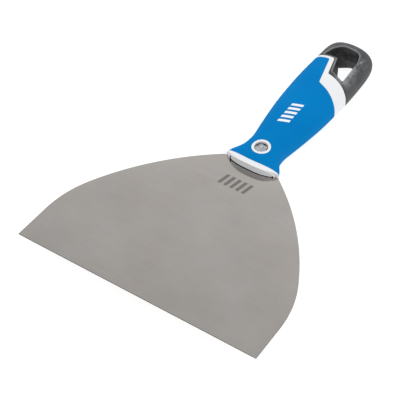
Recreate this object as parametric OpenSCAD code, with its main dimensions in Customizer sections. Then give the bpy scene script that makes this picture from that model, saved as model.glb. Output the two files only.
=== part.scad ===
// Flexible putty knife, 150 mm, with a two-component handle and a hanging loop.
// X runs across the blade, Y from the working edge to the loop, Z up.
// The origin is the middle of the working edge, at half the blade's thickness.

/* [Blade] */
// Length of the working edge
blade_w = 150; // [146:1:154]
// Thickness of the steel sheet
blade_t = 0.6; // [0.4:0.1:1.0]
// Half-width of the blade where it goes into the collar
shoulder_half_w = 17.5; // [16.5:0.1:18]
// Width of the hidden tang
tang_w = 15; // [12:0.5:16]
// How far the tang's end lies from the working edge
tang_end_y = 168; // [150:1:172]

/* [Handle] */
// Thickness of the soft grip over the hard core
grip_t = 1.7; // [1.2:0.1:2.2]
// Where the collar ends and the soft grip begins, along the middle
collar_end_y = 111.1; // [110.8:0.1:111.4]
// Height of the relief at the mouth of the blade slot
mouth_h = 1.2; // [1:0.1:1.6]
// Sides of the handle's cross-section
section_sides = 40; // [24:4:48]

/* [Rivet] */
// Distance of the rivet from the working edge
rivet_y = 121.5; // [120.5:0.1:122.5]
// Outer radius of the ring-shaped boss
boss_r = 5.5; // [5.2:0.1:5.8]
// Inner radius of the ring-shaped boss
boss_recess_r = 4.0; // [3.9:0.1:4.3]
// Height of the floor that the rivet's head sits on, above the blade's middle
recess_floor_z = 6.1; // [5.8:0.1:6.3]
// Thickness of the rivet's head
rivet_head_t = 0.8; // [0.6:0.1:0.9]
// Radius of the rivet's head
rivet_head_r = 3.7; // [3.4:0.1:3.8]
// Radius of the rivet's hollow shank
rivet_shank_r = 2.5; // [2.2:0.1:2.8]
// Radius of the post inside the shank
rivet_post_r = 1.5; // [1.2:0.1:1.8]

/* [Loop] */
// Radius of the right-hand locking peg inside the loop
right_peg_r = 2.2; // [1.8:0.1:2.3]
// Radius of the left-hand locking peg inside the loop
left_peg_r = 1.5; // [1.2:0.1:1.7]

/* [Hidden] */
$fn = 64;
arc_step = 2;           // degrees between points on a plan arc
beyond = 30;            // how far the plan outlines run past the handle
tall = 40;              // height of the prisms that divide the handle

// Blade outline: a straight flank, a tight arc and a wide arc up to the collar.
flank_y = 23;           // where the straight flank ends
flank_lean = 1.1;       // degrees that the flank leans inwards
tight_r = 68;
wide_r = 171;
tight_end_angle = 26.8; // degrees from +X where the tight arc ends

// Cross-sections of the handle from the collar to the loop's end:
// [y, half-width, half-thickness, roundness, forward bow, sideways shift].
STATIONS = [
    [111.3, 15.5, 4.2, 2.6, 3.0, 0],
    [112.0, 15.6, 5.2, 2.6, 4.0, 0],
    [112.7, 17.3, 5.5, 2.6, 3.0, 0],
    [114.4, 16.5, 6.2, 2.6, 2.7, 0],
    [116.4, 15.6, 7.1, 2.4, 2.4, 0],
    [119.0, 13.9, 7.5, 2.3, 1.3, 0],
    [122.0, 12.2, 7.6, 2.5, 0.4, 0],
    [126.0, 11.3, 7.8, 2.7, 0, 0],
    [131.0, 11.3, 8.2, 2.6, 0, 0],
    [139.0, 12.6, 9.0, 2.4, 0, 0],
    [150.0, 14.2, 9.8, 2.3, 0, 0],
    [163.0, 15.7, 10.1, 2.3, 0, 0],
    [177.0, 16.6, 10.0, 2.3, 0, 0],
    [191.0, 16.9, 9.6, 2.4, 0, 0],
    [203.0, 16.6, 9.1, 2.5, 0, 0],
    [211.0, 16.3, 8.8, 2.5, 0, -0.1],
    [217.0, 15.8, 8.5, 2.5, -0.4, -0.4],
    [221.0, 14.8, 7.9, 2.5, -1.0, -0.6],
    [223.3, 13.4, 6.9, 2.5, -1.4, -0.8],
    [224.6, 11.7, 5.3, 2.5, -1.6, -0.9],
    [225.0, 10.3, 3.9, 2.5, -1.6, -0.9],
];
station_count = len(STATIONS);
core_first = 1;         // the stations that the core under the grip runs between
core_last = 15;
front_bow_power = 3;    // how square the bow of the front sections is
rear_bow_power = 2;     // and that of the rear ones

// Corners of the plan outlines: [x, y, corner radius].
GRIP_REAR = [[-6.0, 204.8, 1.6], [0.0, 183.2, 1.6]];
BAND_REAR = [[-3.7, 206.8, 2.2], [0.4, 192.6, 1.0]];
HOLE = [
    [-11.6, 208.6, 0.8], [-10.0, 214.6, 5], [-5.4, 219.8, 5], [6.2, 219.4, 5],
    [8.8, 211.0, 6], [10.2, 192.2, 0.8], [1.4, 195.8, 0.8], [-2.4, 208.0, 0.8],
];
grip_rear_side_y = 173.2;   // where the grip's rear edge meets the right-hand side
grip_rear_r = 50;
band_rear_side_y = 185.3;   // where the white band's rear edge meets the right-hand side
band_rear_r = 42;
side_x = 17.5;
pre_bend = 1.6;             // how far past its inner corner each rear edge starts to bend
grip_rear_slope = 0.6;      // how steeply each rear edge leaves its inner corner
band_rear_slope = 0.3;
collar_end_bow = 0.0073;    // how strongly the collar's rear edge curves back towards the sides
collar_steps = 12;          // straight pieces of each half of that edge
left_rise = 0.4;            // how far each rear edge rises towards the left-hand side
band_run_out = 0.75;        // slope of the band's rear edge past the right-hand side
core_front_y = 100;         // clear of the collar's face, in front of it

// Rings that each loft is skinned over.
outer_steps = 40;
inner_steps = 28;

// Locking pegs: [x, y where it starts, length].
RIGHT_PEG = [13, 180, 19];
LEFT_PEG = [-13.9, 203, 10];

// Rivet details.
head_edge_r = 0.25;         // rounding of a head's edge
post_tip_gap = 0.8;         // from the post's tip to the upper recess floor
bore_tip_gap = 0.3;         // from the end of the shank's bore to the upper recess floor

// Point on a circle.
function on_circle(c, r, a) = [c[0] + r * cos(a), c[1] + r * sin(a)];

// Points along an arc, both ends included.
function arc(c, r, a0, a1) =
    let (n = max(2, ceil(abs(a1 - a0) / arc_step)))
    [for (i = [0:n]) on_circle(c, r, a0 + (a1 - a0) * i / n)];

// Centre of the circle of radius r through p and q, on the left of the way from p to q.
function arc_centre(p, q, r) =
    let (d = q - p, half = norm(d) / 2, m = (p + q) / 2, up = sqrt(r * r - half * half))
    m + up * [-d[1], d[0]] / norm(d);

// Points of the arc of radius r that turns clockwise from p to q.
function bend(p, q, r) =
    let (c = arc_centre(q, p, r), v0 = p - c, v1 = q - c)
    arc(c, r, atan2(v0[1], v0[0]), atan2(v1[1], v1[0]));

// Rounds the corner b between a and c, where b also holds its radius.
function corner(a, b, c) =
    let (p = [b[0], b[1]], u = [a[0], a[1]] - p, v = [c[0], c[1]] - p,
         un = u / norm(u), vn = v / norm(v), half = acos(un * vn) / 2,
         reach = b[2] / tan(half), mid = (un + vn) / norm(un + vn),
         o = p + mid * b[2] / sin(half), s = p + un * reach - o, e = p + vn * reach - o,
         a0 = atan2(s[1], s[0]), turn = atan2(s[0] * e[1] - s[1] * e[0], s * e))
    [for (i = [0:4]) on_circle(o, b[2], a0 + turn * i / 4)];

// Closed outline with each of its corners rounded.
function rounded(pts) =
    let (n = len(pts))
    [for (i = [0:n - 1]) each corner(pts[(i + n - 1) % n], pts[i], pts[(i + 1) % n])];

// Smooth value between stations b and c, where a and d are the stations beside them.
function smooth(a, b, c, d, t) =
    0.5 * (2 * b + (c - a) * t + (2 * a - 5 * b + 4 * c - d) * t * t
           + (3 * b - a - 3 * c + d) * t * t * t);

// The section at u stations along the handle.
function section_at(u) =
    let (i = min(floor(u), station_count - 2), b = STATIONS[i], c = STATIONS[i + 1],
         a = i > 0 ? STATIONS[i - 1] : 2 * b - c,
         d = i < station_count - 2 ? STATIONS[i + 2] : 2 * c - b)
    smooth(a, b, c, d, u - i);

// Signed power, for superellipses.
function spow(v, e) = sign(v) * pow(abs(v), e);

// How far forward of its station a point at share c of the half-width lies.
function lead(bow, c) = bow * (1 - pow(abs(c), bow > 0 ? front_bow_power : rear_bow_power));

// One ring of points round the handle, made thinner all round by inset.
function ring(s, inset) =
    [for (k = [0:section_sides - 1])
        let (a = 360 * (k + 0.5) / section_sides, cx = spow(cos(a), 2 / s[3]), sz = spow(sin(a), 2 / s[3]))
        [s[5] + (s[1] - inset) * cx, s[0] - lead(s[4], cx), (s[2] - inset) * sz]];

// Solid skinned over the sections from station u0 to u1, with flat vertical strips as its ends.
module loft(u0, u1, steps, inset) {
    n = section_sides;
    rings = [for (j = [0:steps]) ring(section_at(u0 + (u1 - u0) * j / steps), inset)];
    walls = [for (j = [0:steps - 1]) for (k = [0:n - 1])
        each [[j * n + k, (j + 1) * n + (k + 1) % n, (j + 1) * n + k],
              [j * n + k, j * n + (k + 1) % n, (j + 1) * n + (k + 1) % n]]];
    front = [for (k = [0:n / 2 - 2]) [n - 1 - k, n - 2 - k, k + 1, k]];
    back = [for (f = front) [for (i = [3:-1:0]) steps * n + f[i]]];
    polyhedron([for (r = rings) each r], concat(walls, front, back), convexity = 6);
}

// The handle's outer shape, from the collar's face to the end of the loop.
module handle_solid() {
    loft(0, station_count - 1, outer_steps, 0);
}

// The core's shape under the soft grip.
module inner_solid() {
    loft(core_first, core_last, inner_steps, grip_t);
}

// Plan curve where the soft grip ends, from left to right.
function grip_rear_curve() =
    let (l = [-beyond, GRIP_REAR[0][1] + left_rise], a = GRIP_REAR[0], b = GRIP_REAR[1],
         side = [side_x, grip_rear_side_y])
    concat([l], corner(l, a, b), corner(a, b, side),
           bend([b[0] + pre_bend, b[1] - pre_bend * grip_rear_slope], side, grip_rear_r),
           [[beyond, grip_rear_side_y - (beyond - side_x)]]);

// Plan curve where the white band ends, from left to right.
function band_rear_curve() =
    let (l = [-beyond, BAND_REAR[0][1] + left_rise], a = BAND_REAR[0], b = BAND_REAR[1],
         side = [side_x, band_rear_side_y])
    concat([l], corner(l, a, b), corner(a, b, side),
           bend([b[0] + pre_bend, b[1] - pre_bend * band_rear_slope], side, band_rear_r),
           [[beyond, band_rear_side_y - band_run_out * (beyond - side_x)]]);

// Straight front edge of a prism, from right to left.
function straight_front(y) = [[beyond, y], [-beyond, y]];

// Plan curve where the collar ends, from right to left.
function collar_end_curve() =
    let (tip_y = collar_end_y + collar_end_bow * side_x * side_x)
    concat([[beyond, tip_y]],
           [for (i = [collar_steps:-1:-collar_steps])
               let (x = side_x * i / collar_steps) [x, collar_end_y + collar_end_bow * x * x]],
           [[-beyond, tip_y]]);

// Vertical prism between two plan curves: its front from right to left, its rear from left to right.
module prism_between(front, rear) {
    translate([0, 0, -tall / 2])
        linear_extrude(tall)
            polygon(concat(front, rear));
}

// The space that the soft grip fills.
module grip_zone() {
    prism_between(collar_end_curve(), grip_rear_curve());
}

// Space of the ring-shaped bosses, which are flush with both faces of the grip.
module boss_zone() {
    translate([0, rivet_y, -tall / 2])
        cylinder(r = boss_r, h = tall);
}

// Outline of the blade's right-hand half, from the working edge to the shoulder.
function flank_curve() =
    let (end = [blade_w / 2 - flank_y * tan(flank_lean), flank_y],
         c1 = on_circle(end, -tight_r, flank_lean),
         p1 = on_circle(c1, tight_r, tight_end_angle),
         c2 = on_circle(p1, -wide_r, tight_end_angle),
         last = acos((shoulder_half_w - c2[0]) / wide_r))
    concat([[blade_w / 2, 0]], arc(c1, tight_r, flank_lean, tight_end_angle - 1),
           arc(c2, wide_r, tight_end_angle, last));

// Where the blade's shoulders lie.
function shoulder_y() = let (half = flank_curve()) half[len(half) - 1][1];

// The tang's shape, from its root to its round end, as thick as the sheet.
module tang(root_y) {
    translate([0, 0, -blade_t / 2])
        linear_extrude(blade_t)
            union() {
                translate([-tang_w / 2, root_y])
                    square([tang_w, tang_end_y - tang_w / 2 - root_y]);
                translate([0, tang_end_y - tang_w / 2])
                    circle(d = tang_w);
            }
}

// Stainless sheet with its tang and rivet hole.
module blade() {
    half = flank_curve();
    color([0.65, 0.64, 0.62])
        difference() {
            union() {
                translate([0, 0, -blade_t / 2])
                    linear_extrude(blade_t)
                        polygon(concat(half, [for (i = [len(half) - 1:-1:0]) [-half[i][0], half[i][1]]]));
                tang(shoulder_y() - 1);
            }
            translate([0, rivet_y, -blade_t])
                cylinder(r = rivet_shank_r, h = 2 * blade_t);
        }
}

// Slot for the tang and the shoulders, with the relief at its mouth and the thin slit beside it.
module blade_slot() {
    relief_x0 = -12.3;
    relief_x1 = 14.8;
    relief_end_y = 113.5;
    slit_w = 0.9;
    slit_h = 5.4;
    tang(core_front_y);
    translate([-beyond, core_front_y, -blade_t / 2])
        cube([2 * beyond, shoulder_y() - core_front_y, blade_t]);
    translate([relief_x0, core_front_y, -mouth_h / 2])
        cube([relief_x1 - relief_x0, relief_end_y - core_front_y, mouth_h]);
    translate([relief_x0 - slit_w, core_front_y, -slit_h / 2])
        cube([slit_w, relief_end_y - core_front_y, slit_h]);
}

// Hard white core: collar, inner body, ring bosses, rear band and locking pegs.
module handle_core() {
    color([0.92, 0.92, 0.94])
        difference() {
            union() {
                difference() {
                    intersection() {
                        handle_solid();
                        prism_between(straight_front(core_front_y), band_rear_curve());
                    }
                    difference() {
                        grip_zone();
                        inner_solid();
                        boss_zone();
                    }
                }
                loop_pegs();
            }
            blade_slot();
            translate([0, rivet_y, -tall / 2])
                cylinder(r = rivet_shank_r, h = tall);
            for (side = [0, 1])
                mirror([0, 0, side])
                    translate([0, rivet_y, recess_floor_z])
                        cylinder(r = boss_recess_r, h = tall / 2 - recess_floor_z);
        }
}

// Round peg that runs back along the handle, from [x, y, length].
module peg(p, r) {
    translate([p[0], p[1], 0])
        rotate([-90, 0, 0])
            cylinder(r = r, h = p[2]);
}

// The two pegs that lock the loop to the core.
module loop_pegs() {
    peg(RIGHT_PEG, right_peg_r);
    peg(LEFT_PEG, left_peg_r);
}

// Soft blue sleeve moulded over the core.
module grip_sleeve() {
    color([0.02, 0.51, 0.77])
        difference() {
            intersection() {
                handle_solid();
                grip_zone();
            }
            inner_solid();
            boss_zone();
        }
}

// Dark loop for hanging the knife up.
module end_loop() {
    color([0.32, 0.33, 0.34])
        difference() {
            handle_solid();
            prism_between(straight_front(core_front_y), band_rear_curve());
            loop_pegs();
            translate([0, 0, -tall / 2])
                linear_extrude(tall)
                    polygon(rounded(HOLE));
        }
}

// Profile of a rivet's head that sits on the upper recess floor, from the axis outwards.
function head_profile() =
    let (top = recess_floor_z + rivet_head_t, r = head_edge_r)
    concat([[0, top]], [for (a = [80:-20:0]) [rivet_head_r - r + r * cos(a), top - 2 * r + 2 * r * sin(a)]],
           [[rivet_head_r, recess_floor_z]]);

// Lower half of the rivet: a head with a solid post.
module rivet_post() {
    post_end_z = recess_floor_z - post_tip_gap;
    color([0.64, 0.66, 0.68])
        translate([0, rivet_y, 0])
            mirror([0, 0, 1])
                rotate_extrude()
                    polygon(concat(head_profile(), [[rivet_post_r, recess_floor_z], [rivet_post_r, -post_end_z],
                                                    [0, -post_end_z]]));
}

// Upper half of the rivet: a head with a hollow shank that the post is pressed into.
module rivet_cap() {
    bore_end_z = recess_floor_z - bore_tip_gap;
    color([0.64, 0.66, 0.68])
        translate([0, rivet_y, 0])
            rotate_extrude()
                polygon(concat(head_profile(),
                               [[rivet_shank_r, recess_floor_z], [rivet_shank_r, -recess_floor_z],
                                [rivet_post_r, -recess_floor_z], [rivet_post_r, bore_end_z],
                                [0, bore_end_z]]));
}

blade();
handle_core();
grip_sleeve();
end_loop();
rivet_post();
rivet_cap();
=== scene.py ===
import math

import bmesh
import bpy
import numpy as np
from mathutils import Matrix, Vector


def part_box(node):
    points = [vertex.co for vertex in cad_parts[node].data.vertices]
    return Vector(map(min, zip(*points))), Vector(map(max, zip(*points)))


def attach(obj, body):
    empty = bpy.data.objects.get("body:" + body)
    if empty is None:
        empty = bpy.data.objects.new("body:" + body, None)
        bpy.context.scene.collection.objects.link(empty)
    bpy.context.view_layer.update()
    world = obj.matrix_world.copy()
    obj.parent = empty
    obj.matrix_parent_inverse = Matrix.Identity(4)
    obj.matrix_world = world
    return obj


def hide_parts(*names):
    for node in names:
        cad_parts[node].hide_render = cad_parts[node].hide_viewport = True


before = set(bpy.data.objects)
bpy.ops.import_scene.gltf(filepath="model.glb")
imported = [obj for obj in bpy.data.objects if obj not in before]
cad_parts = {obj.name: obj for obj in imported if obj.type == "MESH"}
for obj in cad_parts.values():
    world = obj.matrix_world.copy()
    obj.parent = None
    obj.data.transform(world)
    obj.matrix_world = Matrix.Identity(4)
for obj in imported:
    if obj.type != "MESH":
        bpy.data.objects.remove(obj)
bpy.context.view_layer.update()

MM = 0.001
SCENE = bpy.context.scene

# ---------------------------------------------------------------- camera
AZIMUTH, ELEVATION, ROLL = 34.33, 46.13, -0.245   # degrees
DISTANCE = 866.1                                  # mm from the target
TARGET = (-9.22, 74.8, -0.3)                      # mm
FOCAL_PX, IMAGE_PX, SENSOR = 1598.0, 400.0, 36.0


def make_camera():
    a, e, r = (math.radians(v) for v in (AZIMUTH, ELEVATION, ROLL))
    back = Vector((math.sin(a) * math.cos(e), -math.cos(a) * math.cos(e), math.sin(e)))
    right = Vector((math.cos(a), math.sin(a), 0))
    up = back.cross(right)
    axes = (math.cos(r) * right + math.sin(r) * up, math.cos(r) * up - math.sin(r) * right, back)
    data = bpy.data.cameras.new("camera")
    data.sensor_width = SENSOR
    data.lens = FOCAL_PX / IMAGE_PX * SENSOR
    data.clip_start, data.clip_end = 0.01, 20
    camera = bpy.data.objects.new("camera", data)
    turn = Matrix(axes).transposed().to_4x4()
    place = (Vector(TARGET) + DISTANCE * back) * MM
    camera.matrix_world = Matrix.Translation(place) @ turn
    SCENE.collection.objects.link(camera)
    SCENE.camera = camera


# ---------------------------------------------------------------- shape data, mm
# [y, half-width, half-thickness, roundness, forward bow, sideways shift]
STATIONS = np.array([
    [111.3, 15.5, 4.2, 2.6, 3.0, 0], [112.0, 15.6, 5.2, 2.6, 4.0, 0],
    [112.7, 17.3, 5.5, 2.6, 3.0, 0], [114.4, 16.5, 6.2, 2.6, 2.7, 0],
    [116.4, 15.6, 7.1, 2.4, 2.4, 0], [119.0, 13.9, 7.5, 2.3, 1.3, 0],
    [122.0, 12.2, 7.6, 2.5, 0.4, 0], [126.0, 11.3, 7.8, 2.7, 0, 0],
    [131.0, 11.3, 8.2, 2.6, 0, 0], [139.0, 12.6, 9.0, 2.4, 0, 0],
    [150.0, 14.2, 9.8, 2.3, 0, 0], [163.0, 15.7, 10.1, 2.3, 0, 0],
    [177.0, 16.6, 10.0, 2.3, 0, 0], [191.0, 16.9, 9.6, 2.4, 0, 0],
    [203.0, 16.6, 9.1, 2.5, 0, 0], [211.0, 16.3, 8.8, 2.5, 0, -0.1],
    [217.0, 15.8, 8.5, 2.5, -0.4, -0.4], [221.0, 14.8, 7.9, 2.5, -1.0, -0.6],
    [223.3, 13.4, 6.9, 2.5, -1.4, -0.8], [224.6, 11.7, 5.3, 2.5, -1.6, -0.9],
    [225.0, 10.3, 3.9, 2.5, -1.6, -0.9]])
LAST = len(STATIONS) - 1
END_FROM = LAST - 3     # the stations past this one are the handle's rounded end
SKIN = 0.04             # keeps the fine surface inside the CAD model's box
GRIP_T = 1.7            # thickness of the soft grip
COLLAR_END, COLLAR_BOW = 111.1, 0.0073   # where the collar ends: y = end + bow * x * x
EDGE_R = 0.25           # rounding where two materials meet
SEAM_GAP = 0.02         # from each visible piece to the seam beside it
CORE_GAP = 0.05         # from the grip's inside to the core
BOSS_EDGE_R = 0.22
BOSS_ROOT_Z = 3.5       # how deep the boss reaches into the core
RIVET_Y = 121.5
BOSS_R, RECESS_R, RECESS_Z = 5.5, 4.0, 6.1
HEAD_R, SHANK_R, POST_R = 3.7, 2.5, 1.5
SHANK_END_Z, BORE_END_Z, POST_END_Z = -6.08, 5.8, 5.3
BEYOND = 30             # how far the plan curves run past the handle
PRE_BEND = 1.6          # how far past its inner corner each rear curve starts to bend
# Rear curves: far left point, two corners [x, y, radius], side point, bend radius, drop to the bend, run-out.
GRIP_REAR = ((-BEYOND, 205.2), (-6.0, 204.8, 1.6), (0.0, 183.2, 1.6), (17.5, 173.2), 50, 0.96, 12.5)
BAND_REAR = ((-BEYOND, 207.2), (-3.7, 206.8, 2.2), (0.4, 192.6, 1.0), (17.5, 185.3), 42, 0.48, 9.375)
# Corners of the hanging hole: [x, y, radius].
HOLE = ((-11.6, 208.6, 0.8), (-10.0, 214.6, 5), (-5.4, 219.8, 5), (6.2, 219.4, 5),
        (8.8, 211.0, 6), (10.2, 192.2, 0.8), (1.4, 195.8, 0.8), (-2.4, 208.0, 0.8))
HOLE_RIM_R = 0.9        # rounding of the hole's rim
HOLE_LEAN = 0.9         # how far the hole's wall leans in down to its parting line
BLADE_W, BLADE_T, SHOULDER_W = 150.0, 0.6, 17.5
TANG_W, TANG_END = 15.0, 168.0
BLADE_EDGE_R = 0.1
FLANK_Y, FLANK_LEAN = 23.0, 1.1         # where the straight flank ends, and its lean in degrees
TIGHT_R, TIGHT_END = 68, 26.8           # the tight arc, and the angle where it ends
WIDE_R = 171                            # the wide arc up to the shoulder


# ---------------------------------------------------------------- plan curves
def arc(centre, r, a0, a1, step=1.0):
    n = max(4, math.ceil(abs(a1 - a0) / step))
    a = np.radians(np.linspace(a0, a1, n + 1))
    return np.stack([centre[0] + r * np.cos(a), centre[1] + r * np.sin(a)], 1)


def corner(a, b, c):
    """The corner b between a and c, rounded to b's radius."""
    p, r = np.array(b[:2], float), b[2]
    u, v = np.array(a[:2]) - p, np.array(c[:2]) - p
    u, v = u / np.linalg.norm(u), v / np.linalg.norm(v)
    half = math.acos(np.clip(u @ v, -1, 1)) / 2
    o = p + (u + v) / np.linalg.norm(u + v) * r / math.sin(half)
    s, e = p + u * r / math.tan(half) - o, p + v * r / math.tan(half) - o
    turn = math.degrees(math.atan2(s[0] * e[1] - s[1] * e[0], s @ e))
    a0 = math.degrees(math.atan2(s[1], s[0]))
    return arc(o, r, a0, a0 + turn, 6)


def bend(p, q, r):
    """The arc of radius r that turns clockwise from p to q."""
    p, q = np.array(p, float), np.array(q, float)
    d = p - q
    half = np.linalg.norm(d) / 2
    c = (p + q) / 2 + math.sqrt(r * r - half * half) * np.array([-d[1], d[0]]) / (2 * half)
    v0, v1 = p - c, q - c
    return arc(c, r, math.degrees(math.atan2(v0[1], v0[0])), math.degrees(math.atan2(v1[1], v1[0])))


def rear_curve(spec):
    """Plan curve across the handle, from left to right."""
    left, a, b, side, r, drop, run = spec
    start = (b[0] + PRE_BEND, b[1] - drop)
    return np.vstack([[left], corner(left, a, b), corner(a, b, side), bend(start, side, r),
                      [(BEYOND, side[1] - run)]])


def closed_outline(points):
    n = len(points)
    return np.vstack([corner(points[i - 1], points[i], points[(i + 1) % n]) for i in range(n)])


GRIP_CURVE, BAND_CURVE, HOLE_CURVE = rear_curve(GRIP_REAR), rear_curve(BAND_REAR), closed_outline(HOLE)
COLLAR_CURVE = np.array([(x, COLLAR_END + COLLAR_BOW * x * x) for x in np.linspace(-20, 20, 161)])


def distance(points, curve, closed=False):
    """Distance in plan from each point to a polyline."""
    p = np.asarray(points, float)[:, None, :2]
    c = np.vstack([curve, curve[:1]]) if closed else curve
    a, d = c[None, :-1], np.diff(c, axis=0)[None]
    t = np.clip(((p - a) * d).sum(2) / np.maximum((d * d).sum(2), 1e-12), 0, 1)
    return np.sqrt((((p - a) - t[..., None] * d) ** 2).sum(2)).min(1)


# ---------------------------------------------------------------- the handle's surface
def section_at(u):
    u = np.asarray(u, float)
    i = np.clip(np.floor(u).astype(int), 0, LAST - 1)
    pad = np.vstack([2 * STATIONS[0] - STATIONS[1], STATIONS, 2 * STATIONS[-1] - STATIONS[-2]])
    a, b, c, d = pad[i], pad[i + 1], pad[i + 2], pad[i + 3]
    t = (u - i)[:, None]
    s = 0.5 * (2 * b + (c - a) * t + (2 * a - 5 * b + 4 * c - d) * t * t
               + (3 * b - a - 3 * c + d) * t ** 3)
    return s.T


def lead(bow, c):
    """How far forward of its station a point at share c of the half-width lies."""
    return bow * (1 - np.abs(c) ** np.where(bow > 0, 3, 2))


def surface(u, c, side, inset):
    """Points at stations u and share c of the half-width, on the side +1, -1 or 0 of the mid-plane."""
    y, w, h, n, bow, shift = section_at(u)
    w, h = w - SKIN - inset, h - SKIN - inset
    z = h * np.maximum(1 - np.abs(c) ** n, 0) ** (1 / n)
    return np.stack([shift + w * c, y - lead(bow, c) - SKIN * (u > END_FROM), side * z], 1)


def bisect(below, lo, hi, steps=36):
    lo, hi = np.array(lo, float), np.array(hi, float)
    for _ in range(steps):
        mid = (lo + hi) / 2
        low = below(mid)
        lo, hi = np.where(low, mid, lo), np.where(low, hi, mid)
    return (lo + hi) / 2


def u_at_y(y, c):
    def below(u):
        s = section_at(u)
        return s[0] - lead(s[4], c) < y
    return bisect(below, np.zeros(len(c)), np.full(len(c), float(LAST)))


def u_on_curve(curve, c, inset=0.0):
    def below(u):
        s = section_at(u)
        return s[0] - lead(s[4], c) < np.interp(s[5] + (s[1] - SKIN - inset) * c, curve[:, 0], curve[:, 1])
    return bisect(below, np.zeros(len(c)), np.full(len(c), float(LAST)))


def height(x, y):
    """Half-thickness of the handle over plan points."""
    x, y = np.asarray(x, float), np.asarray(y, float)

    def share(s):
        return np.clip((x - s[5]) / (s[1] - SKIN), -1, 1)

    def below(u):
        s = section_at(u)
        return s[0] - lead(s[4], share(s)) < y
    u = bisect(below, np.zeros(len(x)), np.full(len(x), float(LAST)))
    s = section_at(u)
    return (s[2] - SKIN) * np.maximum(1 - np.abs(share(s)) ** s[3], 0) ** (1 / s[3])


def rounding(d, r):
    """How far a rounded edge lies under the surface, at distance d from the edge."""
    d = np.clip(d, 0, r)
    return r - np.sqrt(np.maximum(r * r - (r - d) ** 2, 0))


# The mouth of the blade slot, as shares of the front section's half-width.
FRONT_W = STATIONS[0][1] - SKIN
SLIT = (-13.2, -12.3)
RELIEF_END = 14.8
RELIEF_H, SLIT_H, MOUTH_DEPTH = 0.88, 3.0, 2.0
RELIEF_TAPER = 0.26     # how much lower the relief is at its right-hand end
MOUTH_SHARES = np.round(np.array([SLIT[0] - .03, SLIT[0], SLIT[1], SLIT[1] + .03,
                                  RELIEF_END - .03, RELIEF_END]) / FRONT_W, 6)
SHARE_GAP = 0.0035      # least gap between two columns


def columns():
    """Shares of the half-width, from -1 to 1, closer together where the plan curves are steep."""
    theta = np.linspace(math.pi, 0, 73)
    c = np.sign(np.cos(theta)) * np.abs(np.cos(theta)) ** (2 / 2.6)
    c = np.concatenate([c, np.linspace(-0.46, 0.12, 44), MOUTH_SHARES])
    c = np.unique(np.round(c, 6))
    keep = [c[0]]
    for v in c[1:]:
        if v - keep[-1] > SHARE_GAP or v in MOUTH_SHARES:
            keep.append(v)
    return np.array(keep)


TOP = columns()
RING_C = np.concatenate([TOP, TOP[-2:0:-1]])
RING_SIDE = np.concatenate([[0], np.ones(len(TOP) - 2), [0], -np.ones(len(TOP) - 2)])
RING = len(RING_C)


# ---------------------------------------------------------------- mesh making
def ring_faces(rows, cols, wrap_rows=False):
    faces = []
    for j in range(rows if wrap_rows else rows - 1):
        a, b = j * cols, (j + 1) % rows * cols
        faces += [(a + k, b + k, b + (k + 1) % cols, a + (k + 1) % cols) for k in range(cols)]
    return faces


def strip_faces(base, m, front):
    """Closes a ring of the handle's columns with strips between its upper and lower halves."""
    low = [base] + [base + 2 * (m - 1) - i for i in range(1, m - 1)] + [base + m - 1]
    faces = [(base, base + 1, low[1])]
    faces += [(base + i, base + i + 1, low[i + 1], low[i]) for i in range(1, m - 2)]
    faces += [(base + m - 2, base + m - 1, low[m - 2])]
    return [f[::-1] for f in faces] if front else faces


def make_mesh(name, verts, faces, materials, sharp=38, weld=0.0004):
    mesh = bpy.data.meshes.new(name)
    mesh.from_pydata((np.asarray(verts, float) * MM).tolist(), [], [tuple(f) for f in faces])
    bm = bmesh.new()
    bm.from_mesh(mesh)
    bmesh.ops.remove_doubles(bm, verts=bm.verts, dist=weld * MM)
    bmesh.ops.dissolve_degenerate(bm, edges=bm.edges, dist=1e-8)
    bmesh.ops.recalc_face_normals(bm, faces=bm.faces)
    bm.to_mesh(mesh)
    bm.free()
    obj = bpy.data.objects.new(name, mesh)
    SCENE.collection.objects.link(obj)
    for m in materials:
        mesh.materials.append(m)
    smooth(obj, sharp)
    return obj


def smooth(obj, sharp=38):
    obj.data.shade_smooth()
    obj.data.set_sharp_from_angle(angle=math.radians(sharp))


def boolean(obj, other, operation, sharp=38):
    """Joins or cuts two closed meshes exactly, and removes the second."""
    mod = obj.modifiers.new("cut", "BOOLEAN")
    mod.operation, mod.solver, mod.object = operation, "EXACT", other
    bpy.context.view_layer.update()
    made = bpy.data.meshes.new_from_object(obj.evaluated_get(bpy.context.evaluated_depsgraph_get()))
    obj.modifiers.clear()
    old, obj.data = obj.data, made
    made.name = obj.name
    bpy.data.meshes.remove(old)
    bpy.data.objects.remove(other)
    smooth(obj, sharp)
    return obj


def lathe(name, profile, materials, centre=(0, RIVET_Y), steps=96, ripple=None):
    """Closed solid turned round a vertical axis, from a profile of [r, z] that starts and ends at r = 0."""
    a = np.linspace(0, 2 * math.pi, steps, endpoint=False)
    rings = []
    for r, z in profile:
        lift = ripple(r, a) if ripple else 0 * a
        rings.append(np.stack([centre[0] + r * np.cos(a), centre[1] + r * np.sin(a), z + lift], 1))
    return make_mesh(name, np.vstack(rings), ring_faces(len(rings), steps), materials)


# ---------------------------------------------------------------- the handle's pieces
def spaced_rows(y0, y1, near0, near1, count):
    """Rows from y0 to y1, with some at set distances from each end."""
    rows = [y0 + o for o in near0]
    start, stop = y0 + near0[-1], y1 - near1[-1]
    rows += [start + (stop - start) * j / count for j in range(1, count)]
    return rows + [y1 - o for o in reversed(near1)]


def outer_row(y, curves, inset=0.0):
    u = u_at_y(y, RING_C)
    flat = surface(u, RING_C, RING_SIDE, 0)
    drop = np.zeros(RING)
    for curve, r in curves:
        drop = np.maximum(drop, rounding(distance(flat, curve), r))
    return surface(u, RING_C, RING_SIDE, drop + inset)


NOSE_SOFTENING = 24     # passes that round the collar's nose


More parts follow.
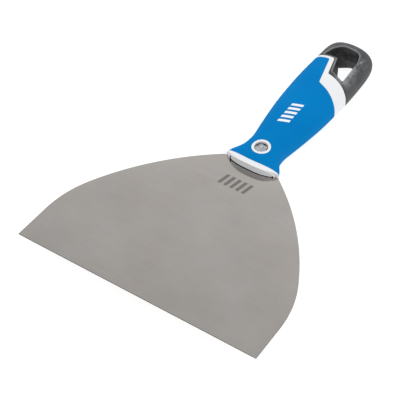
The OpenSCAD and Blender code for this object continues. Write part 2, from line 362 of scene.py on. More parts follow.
def core_rows():
    rows = []
    front = surface(np.zeros(RING), RING_C, RING_SIDE, 0)
    x = front[:, 0]
    mouth = np.full(RING, BLADE_T / 2 + 0.01)
    relief = (x > SLIT[1]) & (x < RELIEF_END)
    mouth[relief] = RELIEF_H - RELIEF_TAPER * (x[relief] - SLIT[1]) / (RELIEF_END - SLIT[1])
    mouth[(x > SLIT[0] - .01) & (x < SLIT[1] + .01)] = SLIT_H
    mouth = np.minimum(mouth, np.abs(front[:, 2]))
    deep = front.copy()
    deep[:, 2] = mouth * RING_SIDE
    inner = deep.copy()
    inner[:, 1] += MOUTH_DEPTH
    rows += [inner, deep]
    for t in (0.3, 0.6, 0.85):
        row = deep.copy()
        row[:, 2] += (front[:, 2] - deep[:, 2]) * t
        rows.append(row)
    end_y = u_y(COLLAR_CURVE, 0)
    front_y = STATIONS[0][0] - lead(STATIONS[0][4], RING_C)
    reach = np.minimum(0.5, 0.6 * (end_y - front_y))
    start_u = u_at_y(end_y - reach, RING_C)
    nose = np.array([surface(start_u * t, RING_C, RING_SIDE, 0) for t in np.linspace(0, 1, 30)])
    for _ in range(NOSE_SOFTENING):
        nose[1:-1] = (nose[:-2] + 2 * nose[1:-1] + nose[2:]) / 4
    rows += list(nose)
    for t in (0.6, 0.38, 0.22, 0.1, 0.03, 0.0):
        u = u_at_y(end_y - reach * t, RING_C)
        rows.append(surface(u, RING_C, RING_SIDE, rounding(reach * t, 0.2)))
    inset = GRIP_T + CORE_GAP
    for y in spaced_rows(end_y, u_y(GRIP_CURVE, inset), [0, 0.5], [0.5, 0], 24):
        rows.append(surface(u_at_y(y, RING_C), RING_C, RING_SIDE, inset))
    y0 = u_y(GRIP_CURVE, 0) + SEAM_GAP
    y1 = u_y(BAND_CURVE, 0) - SEAM_GAP
    near = [0, 0.02, 0.06, 0.12, 0.2, 0.32, 0.5]
    for y in spaced_rows(y0, y1, near, near, 14):
        rows.append(outer_row(y, [(GRIP_CURVE, EDGE_R), (BAND_CURVE, EDGE_R)]))
    return rows


def u_y(curve, inset):
    """Where each column meets a plan curve, as y."""
    u = u_on_curve(curve, RING_C, inset)
    s = section_at(u)
    return s[0] - lead(s[4], RING_C)


def boss(name, side, materials):
    """Ring-shaped boss with its recess, flush with the grip's surface."""
    steps = 128
    a = np.linspace(0, 2 * math.pi, steps, endpoint=False)
    cos, sin = np.cos(a), np.sin(a)

    def ring(r, z):
        return np.stack([r * cos, RIVET_Y + r * sin, side * z], 1)

    def top(r, drop):
        return ring(r, height(r * cos, RIVET_Y + r * sin) - drop)
    e = BOSS_EDGE_R
    flat = np.full(steps, BOSS_ROOT_Z)
    rows = [ring(SHANK_R, flat), ring(SHANK_R, 0 * flat + RECESS_Z), ring(RECESS_R, 0 * flat + RECESS_Z)]
    recess_top = height(RECESS_R * cos, RIVET_Y + RECESS_R * sin)
    for t in (0.3, 0.6, 0.9):
        rows.append(ring(RECESS_R, RECESS_Z + (recess_top - e - RECESS_Z) * t))
    for t in (0, 20, 40, 60, 80, 90):
        k = math.radians(t)
        rows.append(top(RECESS_R + e * (1 - math.cos(k)), e * (1 - math.sin(k))))
    rows += [top(r, 0.0) for r in (4.5, 4.75, 5.0, 5.2)]
    for t in (90, 70, 50, 30, 10, 0):
        k = math.radians(t)
        rows.append(top(BOSS_R - e * (1 - math.cos(k)), e * (1 - math.sin(k))))
    rows += [ring(BOSS_R, 0 * flat + 5.0), ring(BOSS_R, flat)]
    return make_mesh(name, np.vstack(rows), ring_faces(len(rows), steps, True), materials)


def rod(name, r, z0, z1, steps=128):
    return lathe(name, [[0.0, z0], [r, z0], [r, z1], [0.0, z1]], [], steps=steps)


def make_core(material, shadow):
    rows = core_rows()
    faces = ring_faces(len(rows), RING)
    faces += strip_faces(0, len(TOP), True)
    faces += strip_faces((len(rows) - 1) * RING, len(TOP), False)
    core = make_mesh("core_shell", np.vstack(rows), faces, [material, shadow])
    front_y = STATIONS[0][0] - lead(STATIONS[0][4], TOP)
    # Faces inside the slot's mouth get the second material, painted shade for the shadow in the slot.
    for p in core.data.polygons:
        x, y, z = p.center.x / MM, p.center.y / MM, abs(p.center.z) / MM
        behind = y - np.interp(x / FRONT_W, TOP, front_y)
        in_slit = SLIT[0] - 0.03 < x < SLIT[1] + 0.03 and z < SLIT_H and behind > 0.02
        in_relief = SLIT[1] < x < RELIEF_END and z < RELIEF_H
        p.material_index = int(behind < MOUTH_DEPTH + 0.05 and (in_slit or in_relief))
    for side in (1, -1):
        boolean(core, boss("boss", side, [material, shadow]), "UNION")
    boolean(core, rod("bore", SHANK_R - 0.002, -RECESS_Z - 0.5, RECESS_Z + 0.5), "DIFFERENCE")
    return core


def make_sleeve(material):
    y0 = u_y(COLLAR_CURVE, 0) + SEAM_GAP
    y1 = u_y(GRIP_CURVE, 0) - SEAM_GAP
    near0 = [0, 0.02, 0.06, 0.12, 0.2, 0.3, 0.45]
    near1 = [0, 0.04, 0.1, 0.2, 0.35, 0.55, 0.8, 1.15]
    curves = [(GRIP_CURVE, EDGE_R), (COLLAR_CURVE, EDGE_R)]
    rows = [outer_row(y, curves) for y in spaced_rows(y0, y1, near0, near1, 92)]
    inner = spaced_rows(y0 + 0.01, u_y(GRIP_CURVE, GRIP_T) - SEAM_GAP, [0, 0.5], [0.5, 0], 24)
    for y in reversed(inner):
        rows.append(surface(u_at_y(y, RING_C), RING_C, RING_SIDE, GRIP_T))
    sleeve = make_mesh("grip_skin", np.vstack(rows), ring_faces(len(rows), RING, True), [material])
    return boolean(sleeve, rod("boss_space", BOSS_R + 0.03, -12, 12, 160), "DIFFERENCE")


def along(curve, count, closed=False):
    """Points at even spacing along a polyline, without its last point."""
    c = np.vstack([curve, curve[:1]]) if closed else curve
    s = np.concatenate([[0], np.cumsum(np.linalg.norm(np.diff(c, axis=0), axis=1))])
    t = np.linspace(0, s[-1], count, endpoint=False)
    return np.stack([np.interp(t, s, c[:, i]) for i in (0, 1)], 1)


def loop_outline():
    """The loop's outer plan outline, clockwise seen from above, from where the band meets the left side."""
    fine = np.linspace(0, LAST, 1401)
    s = section_at(fine)
    left = np.stack([s[5] - s[1] + SKIN, s[0] - SKIN * (fine > END_FROM)], 1)
    right = np.stack([s[5] + s[1] - SKIN, s[0] - SKIN * (fine > END_FROM)], 1)
    y, w, _, _, bow, shift = section_at(np.array([float(LAST)]))[:, 0]
    c = np.linspace(-1, 1, 121)[1:-1]
    end = np.stack([shift + (w - SKIN) * c, y - SKIN - lead(bow, c)], 1)
    band = BAND_CURVE + [0, 0.03]

    def cross(side):
        gap = side[:, 1] - np.interp(side[:, 0], band[:, 0], band[:, 1])
        return int(np.argmax(gap > 0))
    i, j = cross(left), cross(right)
    dense = np.linspace(right[j, 0], left[i, 0], 400)
    front = np.stack([dense, np.interp(dense, band[:, 0], band[:, 1])], 1)
    return np.vstack([left[i:], end, right[::-1][:len(right) - j]]), front[1:-1]


def inside_outline(points, outline):
    """Whether plan points lie inside a closed outline."""
    a, b = outline, np.roll(outline, -1, 0)
    y = points[:, 1][:, None]
    cross = (a[:, 1] > y) != (b[:, 1] > y)
    x = a[:, 0] + (y - a[:, 1]) * (b[:, 0] - a[:, 0]) / np.where(b[:, 1] == a[:, 1], 1e-9, b[:, 1] - a[:, 1])
    return ((cross & (points[:, 0][:, None] < x)).sum(1) % 2).astype(bool)


def paint(obj, name, values):
    """Stores a number at each vertex, for the material to read."""
    attribute = obj.data.attributes.new(name, "FLOAT", "POINT")
    attribute.data.foreach_set("value", np.asarray(values, np.float32))


def lower_hole(inner):
    """The hole's outline at the underside, which turns a little against the upper one at the rear."""
    x, y = inner.T
    t = np.clip((x + 6.5) / 7.5, 0, 1)
    turn = -2.1 + 3.2 * t * t * (3 - 2 * t)
    fade = np.clip((x + 11) / 3, 0, 1) * np.clip((10 - x) / 3, 0, 1)
    return np.column_stack([x, y + turn * fade * np.clip((y - 214) / 3.5, 0, 1)])


def loop_half(inner, rim, front, z_rim):
    """Rows of one half of the loop from the hole's rim to the outer outline: its top, and its outer wall."""
    shoulder = np.maximum(2.0, z_rim)
    count = len(inner)

    def at(t):
        return inner + (rim - inner) * t[:, None]

    def t_at_height(z):
        def below(t):
            p = at(t)
            return height(p[:, 0], p[:, 1]) > z
        return np.where(z_rim >= z - 1e-6, 1.0, bisect(below, np.zeros(count), np.ones(count), 30))
    t_end = t_at_height(shoulder)

    def top_point(t):
        p = at(t)
        z = height(p[:, 0], p[:, 1])
        z = z - rounding(distance(p, inner, True), HOLE_RIM_R)
        z = z - np.where(z > 2.5, rounding(distance(p, front), EDGE_R), 0)
        return np.column_stack([p, z])
    steps = 34
    top = [top_point(t_end * 0.5 * (1 - math.cos(math.pi * j / steps))) for j in range(steps + 1)]
    z_top = top[-1][:, 2]
    wall = []
    for q in (0.06, 0.16, 0.3, 0.45, 0.6, 0.75, 0.88, 0.96):
        z = z_top * (1 - q)
        wall.append(np.column_stack([at(np.where(z_rim >= z, 1.0, t_at_height(z))), z]))
    return top, wall


def make_loop(material):
    outer, front = loop_outline()
    outline = np.vstack([outer, front])
    fine_hole = along(HOLE_CURVE, 2400, True)
    fine_out = along(outline, 4800, True)
    # Points of the hole's outline that belong with points of the outer outline.
    pairs = [((-11.6, 208.4), (-16.4, 207.2)), ((-10.6, 213.5), (-16.2, 214.0)),
             ((-7.0, 218.2), (-12.0, 224.6)), ((0.0, 219.7), (-0.9, 226.6)),
             ((6.6, 218.0), (9.6, 225.0)), ((8.6, 212.0), (15.9, 214.0)),
             ((9.4, 203.0), (16.6, 202.0)), ((10.1, 192.5), (17.1, 185.6)),
             ((1.6, 195.6), (0.6, 192.4)), ((-2.4, 207.6), (-3.4, 206.2))]

    def nearest(curve, p):
        return int(np.argmin(((curve - np.array(p)) ** 2).sum(1)))
    hi = [nearest(fine_hole, p[0]) for p in pairs]
    oi = [nearest(fine_out, p[1]) for p in pairs]
    inner, rim = [], []
    counts = [14, 22, 26, 22, 20, 20, 20, 34, 36, 30]
    for k, n in enumerate(counts):
        h0, h1 = hi[k], hi[(k + 1) % len(pairs)]
        o0, o1 = oi[k], oi[(k + 1) % len(pairs)]
        h1 += len(fine_hole) * (h1 < h0)
        o1 += len(fine_out) * (o1 < o0)
        t = np.arange(n) / n
        inner.append(fine_hole[np.round(h0 + (h1 - h0) * t).astype(int) % len(fine_hole)])
        rim.append(fine_out[np.round(o0 + (o1 - o0) * t).astype(int) % len(fine_out)])
    inner, rim = np.vstack(inner), np.vstack(rim)
    low = lower_hole(inner)
    z_rim = height(rim[:, 0], rim[:, 1])
    top, wall = loop_half(inner, rim, front, z_rim)
    low_top, low_wall = loop_half(low, rim, front, z_rim)
    # The hole narrows from its upper rim to a fine parting line at mid-depth, and goes straight on below.
    tangent = np.roll(inner, -1, 0) - np.roll(inner, 1, 0)
    normal = np.stack([tangent[:, 1], -tangent[:, 0]], 1)
    normal /= np.linalg.norm(normal, axis=1)[:, None]

    def hole_row(q, lean):
        plan = inner + (low - inner) * max(0, -q) + normal * lean
        return np.column_stack([plan, (top[0][:, 2] if q > 0 else low_top[0][:, 2]) * q])
    upper_wall = [hole_row(q, HOLE_LEAN * (1 - q) ** 1.2)
                  for q in (0.03, 0.06, 0.12, 0.25, 0.4, 0.55, 0.7, 0.85, 0.95)]
    ridge = [hole_row(-0.03, HOLE_LEAN - 0.1), hole_row(-0.008, HOLE_LEAN + 0.06),
             hole_row(0.012, HOLE_LEAN + 0.06)]
    lower_wall = [hole_row(-q, HOLE_LEAN * (1 - max(0, q - 0.86) / 0.14) ** 0.6)
                  for q in (0.06, 0.12, 0.25, 0.4, 0.55, 0.7, 0.82, 0.88, 0.93, 0.97, 0.992)]
    lower = [np.column_stack([r[:, :2], -r[:, 2]]) for r in low_top + low_wall]
    seam = np.column_stack([rim, 0 * z_rim])
    rows = ridge + upper_wall + top + wall + [seam] + lower[::-1] + lower_wall[::-1]
    loop = make_mesh("hanging_loop", np.vstack(rows), ring_faces(len(rows), len(inner), True), [material], 42)
    paint_loop(loop, outline)
    return loop


def paint_loop(loop, outline):
    """Wear and a painted highlight on the rims, painted shade towards the outer edges, and painted shade on
    the hole's walls.
    """
    co = np.array([v.co for v in loop.data.vertices]) / MM
    x, y, z = co.T
    near, far = distance(co, HOLE_CURVE, True), distance(co, outline, True)
    inside = inside_outline(co[:, :2], HOLE_CURVE)
    skin = np.maximum(height(x, y), 1.0)
    on_top = (np.abs(z) > 0.75 * skin) * ~inside
    arm = np.clip((x - 3) / 4, 0, 1) * np.clip((219 - y) / 6, 0, 1)
    # Wear and a painted highlight along the hole's rim, weaker on the right arm.
    line = np.exp(-((near - 0.5) / 0.42) ** 2) * (1 - 0.6 * arm)
    # Wear and a painted highlight in broad patches on the right arm, near the hole.
    wear_and_highlight = arm * np.exp(-(near / 3.4) ** 2)
    paint(loop, "line", line * on_top)
    paint(loop, "wear_and_highlight", wear_and_highlight * on_top)
    # Painted shade, darker towards the loop's outer outline.
    paint(loop, "edge", np.exp(-(far / 1.7) ** 2))
    # Painted shade on the hole's walls from just under the rim, a little lighter about the parting line and
    # below it, near black on the front-left walls.
    paint(loop, "depth", np.where(inside | (near < 0.1), np.clip((skin - 0.5 - z) / 0.7, 0, 1), 0))
    paint(loop, "below", np.clip(0.5 - z / 0.5, 0, 1) * inside)
    paint(loop, "shade", inside * np.clip(1.2 - x / 3, 0, 1) * np.clip((213 - y) / 3, 0, 1))


# ---------------------------------------------------------------- the blade
def flank():
    """The right-hand side of the blade's outline, from the working edge to the shoulder."""
    lean = math.radians(FLANK_LEAN)
    end = np.array([BLADE_W / 2 - FLANK_Y * math.tan(lean), FLANK_Y])
    c1 = end - TIGHT_R * np.array([math.cos(lean), math.sin(lean)])
    k = math.radians(TIGHT_END)
    p1 = c1 + TIGHT_R * np.array([math.cos(k), math.sin(k)])
    c2 = p1 - WIDE_R * np.array([math.cos(k), math.sin(k)])
    last = math.degrees(math.acos((SHOULDER_W - c2[0]) / WIDE_R))
    tight = arc(c1, TIGHT_R, FLANK_LEAN, TIGHT_END - 0.3, 0.5)
    return np.vstack([[(BLADE_W / 2, 0)], tight, arc(c2, WIDE_R, TIGHT_END, last, 0.4)])


def make_blade(materials):
    side = flank()
    e, t = BLADE_EDGE_R, BLADE_T / 2
    ys = [0.0, 0.03, e, 0.4, 1.0, 2.0] + list(np.arange(4.0, FLANK_Y, 2.0)) + list(side[1:, 1])
    shoulder = side[-1, 1]
    rows = [(y, np.interp(y, side[:, 1], side[:, 0])) for y in ys]
    neck = [shoulder + 0.02, 115, 118, 121.5, 125, 130, 138, 146, 154]
    rows += [(y, TANG_W / 2) for y in neck]
    a = np.radians(np.linspace(0, 88, 12))
    rows += [(TANG_END - TANG_W / 2 + TANG_W / 2 * math.sin(k), TANG_W / 2 * math.cos(k)) for k in a]
    shares = np.linspace(-1, 1, 25)
    verts = []
    for y, w in rows:
        lip = t - e if y < 0.02 else t - 0.3 * e if y < 0.05 else t
        xs = np.concatenate([[-w, -w + 0.3 * e], shares * (w - e), [w - 0.3 * e, w]])
        zs = np.minimum(np.concatenate([[t - e, t - 0.3 * e], np.full(25, t), [t - 0.3 * e, t - e]]), lip)
        verts.append(np.column_stack([np.concatenate([xs, xs[::-1]]), np.full(58, y),
                                      np.concatenate([zs, -zs[::-1]])]))
    n = 58
    faces = ring_faces(len(verts), n)
    for base, front in ((0, True), ((len(verts) - 1) * n, False)):
        cap = [(base + i, base + i + 1, base + n - 2 - i, base + n - 1 - i) for i in range(28)]
        faces += [f[::-1] for f in cap] if front else cap
    blade = make_mesh("blade_sheet", np.vstack(verts), faces, materials, 30)
    boolean(blade, rod("rivet_hole", SHANK_R + 0.002, -2, 2), "DIFFERENCE", 30)
    # Edge faces outside the handle get the second material: near-black steel, painted shade along the blade's
    # edge.
    for p in blade.data.polygons:
        if abs(p.normal.z) < 0.5 and p.center.y < 0.1115:
            p.material_index = 1
    return blade


# ---------------------------------------------------------------- rivet
def head_profile():
    """The upper head from its dished middle over its rolled edge, as [r, z]."""
    return [[0.0, 6.62], [0.4, 6.62], [0.8, 6.63], [1.2, 6.67], [1.6, 6.76], [2.0, 6.84],
            [2.3, 6.87], [2.6, 6.86], [2.9, 6.82], [3.1, 6.78], [3.3, 6.72], [3.5, 6.62],
            [HEAD_R, 6.45], [HEAD_R, RECESS_Z + 0.005]]


def head_ripple(r, a):
    """Uneven rolled edge of the head, lowest towards the handle's rear."""
    k = np.clip(r / 2.2, 0, 1) * np.clip((HEAD_R - r) / 0.9, 0, 1)
    rear = np.cos(a - math.radians(124))
    waves = 0.09 * np.cos(5 * a + 0.9) + 0.04 * np.cos(3 * a + 1.2) + 0.03 * np.cos(11 * a)
    return k * (waves - 0.14 * rear - 0.1)


def arc_share(a, centre, width):
    """How fully an angle lies in an arc of the head, given in degrees, fading towards the arc's ends."""
    off = np.abs((a - math.radians(centre) + math.pi) % (2 * math.pi) - math.pi)
    return np.clip(1.4 - off / math.radians(width), 0, 1)


def paint_crevice_shade(half):
    """Painted shade in the crevice round the head: two arcs towards the rear with a gap between them, and a
    spot at the right.
    """
    co = np.array([v.co for v in half.data.vertices]) / MM
    x, y = co[:, 0], co[:, 1] - RIVET_Y
    r, a = np.hypot(x, y), np.arctan2(y, x)
    crevice_shade = np.maximum.reduce([arc_share(a, 160, 34), arc_share(a, 80, 34), 0.8 * arc_share(a, 6, 10)])
    inner_r = 3.4 - 0.95 * crevice_shade
    paint(half, "crevice_shade", np.clip((r - inner_r) / 0.25, 0, 1) * (0.35 + 0.65 * crevice_shade))


def make_rivets(material):
    shank_r, root_z = SHANK_R - 0.02, RECESS_Z + 0.005
    shank = [[shank_r, root_z], [shank_r, SHANK_END_Z],
             [POST_R + 0.01, SHANK_END_Z], [POST_R + 0.01, BORE_END_Z], [0.0, BORE_END_Z]]
    pin = [[POST_R, -root_z], [POST_R, POST_END_Z], [0.0, POST_END_Z]]
    cap = lathe("rivet_upper", head_profile() + shank, [material], ripple=head_ripple)
    post = lathe("rivet_lower", [[r, -z] for r, z in head_profile()] + pin,
                 [material], ripple=lambda r, a: -head_ripple(r, a))
    for half in (cap, post):
        paint_crevice_shade(half)
    return cap, post


# ---------------------------------------------------------------- generic marks
BARS = 5                # bars in each mark


def patch(origin, across, lengthways, size, lean, nx=6, ny=14):
    """Plan grid of one slanted bar."""
    u, v = np.meshgrid(np.linspace(-.5, .5, nx), np.linspace(-.5, .5, ny))
    p = (np.array(origin) + (u.ravel() * size[0] + v.ravel() * lean)[:, None] * np.array(lengthways)
         + (v.ravel() * size[1])[:, None] * np.array(across))
    return p, nx, ny


def slab(p, nx, ny, z_of, top, bottom):
    z = z_of(p)
    up = np.column_stack([p, z + top])
    low = np.column_stack([p, z - bottom])
    n = nx * ny
    faces = []
    for j in range(ny - 1):
        for i in range(nx - 1):
            a = j * nx + i
            faces += [(a, a + 1, a + nx + 1, a + nx), (n + a, n + a + nx, n + a + nx + 1, n + a + 1)]
    edge = ([i for i in range(nx)] + [j * nx + nx - 1 for j in range(1, ny)]
            + [(ny - 1) * nx + i for i in range(nx - 2, -1, -1)] + [j * nx for j in range(ny - 2, 0, -1)])
    for a, b in zip(edge, edge[1:] + edge[:1]):
        faces.append((a, n + a, n + b, b))
    return np.vstack([up, low]), faces


def bars(name, places, size, lean, across, lengthways, z_of, top, bottom, materials):
    verts, faces, base = [], [], 0
    for place in places:
        p, nx, ny = patch(place, across, lengthways, size, lean)
        v, f = slab(p, nx, ny, z_of, top, bottom)
        verts.append(v)
        faces += [tuple(base + i for i in g) for g in f]
        base += len(v)
    return make_mesh(name, np.vstack(verts), faces, materials, 30)


def make_marks(print_material, etch_material):
    """Five plain slanted bars printed along the grip, and five etched across the blade."""
    def grip_top(p):
        return height(p[:, 0], p[:, 1])

    def sheet_top(p):
        return np.full(len(p), BLADE_T / 2)
    print_places = [(0.3, 144.6 + 3.6 * i) for i in range(BARS)]
    etch_places = [(-7.2 + 3.8 * i, 95.2) for i in range(BARS)]
    upper = bars("grip_print", print_places, (1.9, 6.4), 2.4,
                 (1, 0), (0, 1), grip_top, 0.02, 0.06, [print_material])
    etch = bars("blade_etch", etch_places, (2.0, 8.0), 1.6,
                (0, 1), (1, 0), sheet_top, 0.006, 0.05, [etch_material])
    return upper, etch


# ---------------------------------------------------------------- materials
class Nodes:
    """A small helper for building one material's nodes."""

    def __init__(self, name):
        self.material = bpy.data.materials.new(name)
        self.material.use_nodes = True
        self.tree = self.material.node_tree
        self.tree.nodes.clear()
        self.out = self.add("ShaderNodeOutputMaterial")
        self.shader = self.add("ShaderNodeBsdfPrincipled")
        self.link(self.shader.outputs[0], self.out.inputs["Surface"])
        self.place = self.add("ShaderNodeTexCoord").outputs["Object"]

    def stored(self, name):
        return self.add("ShaderNodeAttribute", attribute_name=name).outputs["Fac"]

    def add(self, kind, **values):
        node = self.tree.nodes.new(kind)
        for k, v in values.items():
            setattr(node, k, v)
        return node

    def link(self, a, b):
        self.tree.links.new(a, b)

    def set(self, **values):
        for k, v in values.items():
            self.shader.inputs[k.replace("_", " ")].default_value = v

    def noise(self, scale, detail=4.0, rough=0.55, stretch=(1, 1, 1), offset=0.0):
        node = self.add("ShaderNodeTexNoise")
        node.inputs["Scale"].default_value = scale
        node.inputs["Detail"].default_value = detail
        node.inputs["Roughness"].default_value = rough
        mapping = self.add("ShaderNodeMapping")
        self.link(self.place, mapping.inputs["Vector"])
        mapping.inputs["Scale"].default_value = stretch
        mapping.inputs["Location"].default_value = (offset, offset * 0.7, offset * 1.3)
        self.link(mapping.outputs[0], node.inputs["Vector"])
        return node.outputs["Fac"]

    def ramp(self, value, stops):
        node = self.add("ShaderNodeValToRGB")
        ramp = node.color_ramp
        while len(ramp.elements) < len(stops):
            ramp.elements.new(0.5)
        for element, (place, colour) in zip(ramp.elements, stops):
            element.position = place
            element.color = (*colour, 1)
        self.link(value, node.inputs["Fac"])
        return node.outputs["Color"]

    def span(self, value, lo, hi, a=0.3, b=0.7):
        node = self.add("ShaderNodeMapRange")
        for key, v in (("From Min", a), ("From Max", b), ("To Min", lo), ("To Max", hi)):
            node.inputs[key].default_value = v
        self.link(value, node.inputs["Value"])
        return node.outputs["Result"]

    def math(self, kind, a, b):
        node = self.add("ShaderNodeMath", operation=kind)
        for i, v in enumerate((a, b)):
            if isinstance(v, (int, float)):
                node.inputs[i].default_value = v
            else:
                self.link(v, node.inputs[i])
        return node.outputs[0]

    def mix(self, a, b, fac, kind="MIX"):
        node = self.add("ShaderNodeMix", data_type="RGBA", blend_type=kind)
        for i, v in ((0, fac), (6, a), (7, b)):
            if isinstance(v, (int, float)):
                node.inputs[i].default_value = v
            elif isinstance(v, tuple):
                node.inputs[i].default_value = (*v, 1)
            else:
                self.link(v, node.inputs[i])
        return node.outputs[2]

    def bump(self, value, strength, distance):
        node = self.add("ShaderNodeBump")
        node.inputs["Strength"].default_value = strength
        node.inputs["Distance"].default_value = distance
        self.link(value, node.inputs["Height"])
        if self.shader.inputs["Normal"].is_linked:
            self.link(self.shader.inputs["Normal"].links[0].from_socket, node.inputs["Normal"])
        self.link(node.outputs[0], self.shader.inputs["Normal"])


def steel():
    m = Nodes("blade_steel")
    m.set(Metallic=1.0)
    cloud = m.noise(26, 3, 0.5)
    grain = m.noise(900, 2, 0.6, (0.05, 1.0, 1.0))
    base = m.ramp(cloud, [(0.36, (0.352, 0.332, 0.312)), (0.64, (0.384, 0.365, 0.346))])
    tone = m.ramp(m.noise(60, 4, 0.6, offset=3.1), [(0.4, (0.975, 0.985, 1.0)), (0.6, (1.0, 0.99, 0.975))])
    colour = m.mix(base, tone, 1.0, "MULTIPLY")
    # Painted light: the rear of the blade is a little brighter than its working edge.
    axes = m.add("ShaderNodeSeparateXYZ")
    m.link(m.place, axes.inputs[0])
    rearward = m.span(axes.outputs["Y"], 0, 1, 0.0, 0.11)
    painted_light_gradient = m.ramp(rearward, [(0.0, (0.89, 0.89, 0.89)), (1.0, (1.08, 1.08, 1.08))])
    colour = m.mix(colour, painted_light_gradient, 1.0, "MULTIPLY")
    streak = m.ramp(grain, [(0.35, (0.97, 0.97, 0.97)), (0.65, (1.0, 1.0, 1.0))])
    m.link(m.mix(colour, streak, 1.0, "MULTIPLY"), m.shader.inputs["Base Color"])
    smear = m.noise(45, 5, 0.6, (1.0, 0.35, 1.0), 7.7)
    m.link(m.span(smear, 0.11, 0.17), m.shader.inputs["Roughness"])
    m.bump(grain, 0.06, 0.00004)
    return m.material


def painted_shade_edge_steel():
    # Painted shade: near-black steel for the blade's edge faces, so the edge reads as a dark line.
    m = Nodes("blade_edge_painted_shade")
    m.set(Metallic=1.0)
    grain = m.noise(1400, 2, 0.6, (1.0, 1.0, 0.2))
    metal = m.ramp(grain, [(0.3, (0.03, 0.029, 0.028)), (0.7, (0.06, 0.058, 0.056))])
    m.link(metal, m.shader.inputs["Base Color"])
    m.link(m.span(grain, 0.4, 0.6), m.shader.inputs["Roughness"])
    m.bump(grain, 0.3, 0.00003)
    return m.material


def etched_steel():
    m = Nodes("etched_steel")
    m.set(Metallic=1.0)
    grain = m.noise(1800, 3, 0.7)
    metal = m.ramp(grain, [(0.3, (0.16, 0.15, 0.145)), (0.7, (0.21, 0.20, 0.195))])
    m.link(metal, m.shader.inputs["Base Color"])
    m.link(m.span(grain, 0.35, 0.5), m.shader.inputs["Roughness"])
    m.bump(grain, 0.4, 0.00003)
    return m.material


def blue_rubber():
    m = Nodes("blue_rubber")
    m.set(Specular_IOR_Level=0.01)
    broad = m.noise(30, 3, 0.5)
    colour = m.ramp(broad, [(0.35, (0.0016, 0.187, 0.500)), (0.65, (0.0020, 0.204, 0.540))])
    speck = m.noise(2600, 3, 0.7, offset=2.3)
    fine = m.ramp(speck, [(0.35, (0.94, 0.95, 0.96)), (0.65, (1.0, 1.0, 1.0))])
    m.link(m.mix(colour, fine, 1.0, "MULTIPLY"), m.shader.inputs["Base Color"])
    m.link(m.span(m.noise(120, 4, 0.6, offset=5.2), 0.5, 0.64), m.shader.inputs["Roughness"])
    m.bump(speck, 0.22, 0.00005)
    return m.material


def white_plastic(name="white_plastic", level=0.80):
    m = Nodes(name)
    m.set(Specular_IOR_Level=0.4)
    broad = m.noise(50, 4, 0.55)
    colour = m.ramp(broad, [(0.35, (level * 0.985, level * 1.0, level * 1.03)),
                            (0.7, (level * 1.01, level * 1.025, level * 1.055))])
    m.link(colour, m.shader.inputs["Base Color"])
    m.link(m.span(m.noise(260, 4, 0.6, offset=4.2), 0.28, 0.42), m.shader.inputs["Roughness"])
    m.bump(m.noise(900, 2, 0.5, offset=1.1), 0.06, 0.00005)
    return m.material


def painted_slot_shade():
    """Painted shade for the inside of the blade slot: a near-black sheet where the slot lies in shadow."""
    m = Nodes("painted_slot_shade")
    m.set(Specular_IOR_Level=0.1)
    m.link(m.ramp(m.noise(900, 3), [(0.3, (0.006, 0.006, 0.006)), (0.7, (0.015, 0.014, 0.013))]),
           m.shader.inputs["Base Color"])
    m.link(m.span(m.noise(700, 2, offset=1.5), 0.7, 0.9), m.shader.inputs["Roughness"])
    return m.material


def grey_plastic():
    m = Nodes("grey_plastic")
    m.set(Specular_IOR_Level=0.25)
    mottle = m.noise(520, 5, 0.65)
    broad = m.noise(150, 5, 0.65, (1.0, 0.5, 1.0), 6.3)
    both = m.math("ADD", m.math("MULTIPLY", mottle, 0.45), m.math("MULTIPLY", broad, 0.55))
    skin = m.ramp(both, [(0.38, (0.048, 0.050, 0.053)), (0.5, (0.064, 0.066, 0.070)),
                         (0.62, (0.100, 0.103, 0.110))])
    # Painted shade towards the loop's outer edges.
    edge = m.mix(skin, (0.042, 0.043, 0.046), m.math("MULTIPLY", m.stored("edge"), 0.6))
    # Wear and a painted highlight in broad mottled patches on the right arm.
    patches = m.math("MULTIPLY", m.stored("wear_and_highlight"), m.span(both, 0.0, 1.3, 0.43, 0.57))
    wear_and_highlight = m.mix(edge, (0.255, 0.262, 0.275), patches)
    # Wear and a painted highlight along the hole's rim.
    lining = m.math("MULTIPLY", m.stored("line"), m.span(broad, 0.7, 1.0))
    lined = m.mix(wear_and_highlight, (0.25, 0.255, 0.265), lining)
    # Painted shade on the hole's walls: darker than the top, with the front-left walls near black.
    upper = m.ramp(broad, [(0.4, (0.022, 0.022, 0.023)), (0.5, (0.034, 0.034, 0.035)),
                           (0.62, (0.070, 0.070, 0.072))])
    below = m.ramp(m.stored("below"), [(0.0, (0.0, 0.0, 0.0)), (0.5, (0.045, 0.044, 0.043)),
                                       (1.0, (0.018, 0.017, 0.015))])
    shaded = m.math("MULTIPLY", m.stored("shade"), 0.9)
    deep = m.mix(m.mix(upper, below, 1.0, "ADD"), (0.009, 0.009, 0.009), shaded)
    m.link(m.mix(lined, deep, m.stored("depth")), m.shader.inputs["Base Color"])
    m.link(m.span(mottle, 0.42, 0.65), m.shader.inputs["Roughness"])
    m.bump(m.noise(1500, 4, 0.7, offset=3.3), 0.45, 0.00007)
    m.bump(mottle, 0.35, 0.00014)
    return m.material


def rivet_steel():
    m = Nodes("rivet_steel")
    m.set(Metallic=1.0)
    mottle = m.noise(700, 4, 0.65)
    metal = m.ramp(mottle, [(0.35, (0.27, 0.29, 0.31)), (0.65, (0.52, 0.55, 0.57))])
    # Painted shade in the crevice round the head darkens the metal at its rim.
    m.link(m.mix(metal, (0.035, 0.033, 0.035), m.stored("crevice_shade")), m.shader.inputs["Base Color"])
    m.link(m.span(mottle, 0.28, 0.5), m.shader.inputs["Roughness"])
    m.bump(mottle, 0.5, 0.0001)
    return m.material


# ---------------------------------------------------------------- studio
FLOOR_HALF, FLOOR_GAP = 6.0, 0.0006                 # m
FLOOR_TONE, FLOOR_GLOW = (0.30, 0.30, 0.30, 1), 0.86
BRIGHT_SIDE = (-0.38, 0.55, 0.74)                   # where the studio is brightest
KEY_PLACE, KEY_SIZE, KEY_POWER = (0.35, 0.05, 1.3), 0.9, 3.0


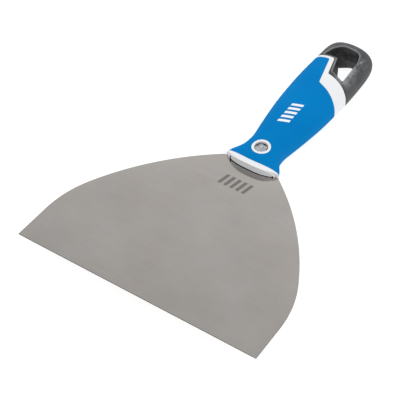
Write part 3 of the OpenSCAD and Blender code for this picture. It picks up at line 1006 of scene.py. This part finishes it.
def make_stage():
    size = FLOOR_HALF
    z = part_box("handle_core")[0].z - FLOOR_GAP
    mesh = bpy.data.meshes.new("floor")
    corners = [(-size, -size, z), (size, -size, z), (size, size, z), (-size, size, z)]
    mesh.from_pydata(corners, [], [(0, 1, 2, 3)])
    floor = bpy.data.objects.new("floor", mesh)
    SCENE.collection.objects.link(floor)
    m = bpy.data.materials.new("pale_floor")
    m.use_nodes = True
    shader = m.node_tree.nodes["Principled BSDF"]
    shader.inputs["Base Color"].default_value = FLOOR_TONE
    shader.inputs["Roughness"].default_value = 0.9
    shader.inputs["Specular IOR Level"].default_value = 0.1
    shader.inputs["Emission Color"].default_value = (1, 1, 1, 1)
    shader.inputs["Emission Strength"].default_value = FLOOR_GLOW
    mesh.materials.append(m)
    world = bpy.data.worlds.new("studio")
    SCENE.world = world
    world.use_nodes = True
    # The studio is brightest above and behind the knife, and dimmer in front of it.
    tree = world.node_tree
    place = tree.nodes.new("ShaderNodeTexCoord")
    dot = tree.nodes.new("ShaderNodeVectorMath")
    dot.operation = "DOT_PRODUCT"
    dot.inputs[1].default_value = Vector(BRIGHT_SIDE).normalized()
    span = tree.nodes.new("ShaderNodeMapRange")
    span.interpolation_type = "SMOOTHSTEP"
    for key, v in (("From Min", 0.15), ("From Max", 0.85), ("To Min", 0.82), ("To Max", 1.04)):
        span.inputs[key].default_value = v
    background = tree.nodes["Background"]
    background.inputs["Color"].default_value = (1, 1, 1, 1)
    tree.links.new(place.outputs["Generated"], dot.inputs[0])
    tree.links.new(dot.outputs["Value"], span.inputs["Value"])
    tree.links.new(span.outputs["Result"], background.inputs["Strength"])
    area_light("key", KEY_PLACE, KEY_SIZE, KEY_POWER)


def area_light(name, place, size, power):
    data = bpy.data.lights.new(name, "AREA")
    data.shape, data.size, data.energy = "SQUARE", size, power
    light = bpy.data.objects.new(name, data)
    centre = Vector((0, 0.11, 0))
    light.location = place
    light.rotation_euler = (centre - light.location).to_track_quat("-Z", "Y").to_euler()
    SCENE.collection.objects.link(light)


# ---------------------------------------------------------------- build
make_camera()
make_stage()
SCENE.view_settings.view_transform = "Standard"

WHITE, BLUE, GREY, RIVET = white_plastic(), blue_rubber(), grey_plastic(), rivet_steel()
blade = make_blade([steel(), painted_shade_edge_steel()])
core = make_core(WHITE, painted_slot_shade())
sleeve = make_sleeve(BLUE)
loop = make_loop(GREY)
cap, post = make_rivets(RIVET)
grip_print, blade_etch = make_marks(white_plastic("white_print", 0.86), etched_steel())

for piece, node, slot in ((blade, "blade", "blade_steel"), (core, "handle_core", "core_white"),
                          (sleeve, "grip_sleeve", "grip_blue"), (loop, "end_loop", "loop_grey"),
                          (cap, "rivet_cap", "rivet_steel"), (post, "rivet_post", "rivet_steel")):
    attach(piece, "root")
    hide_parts(node)
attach(grip_print, "root")
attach(blade_etch, "root")
